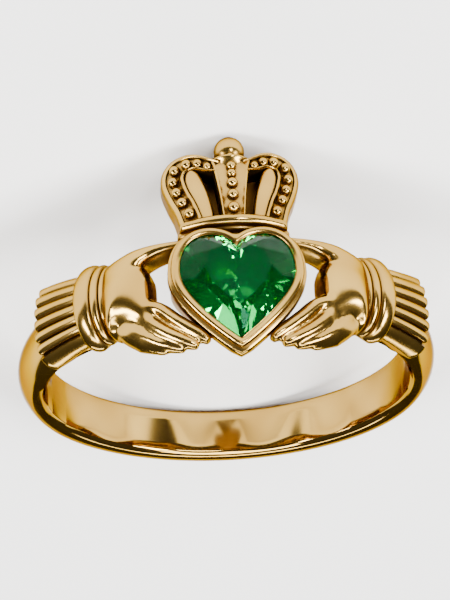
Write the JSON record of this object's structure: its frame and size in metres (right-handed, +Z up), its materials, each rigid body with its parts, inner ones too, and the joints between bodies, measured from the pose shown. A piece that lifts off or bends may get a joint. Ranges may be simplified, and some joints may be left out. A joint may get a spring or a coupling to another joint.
{
  "type": "claddagh ring",
  "caption": "Finger ring whose two cuffed hands hold a heart-cut green stone under a beaded crown, lying on its side.",
  "frame": {"origin": "on the surface the ring lies on, under the middle of its box", "axes": "+Z up from the surface, the head towards -Y with its crown down, X across the ring"},
  "size_m": [0.0198, 0.0216, 0.0105],
  "materials": {
    "gold": "cast 14 carat yellow gold, polished, darkened in its grooves",
    "green_stone": "faceted and polished green gemstone"
  },
  "bodies": {
    "root": {"ring_body": "gold", "heart_stone": "green_stone"}
  },
  "joints": []
}
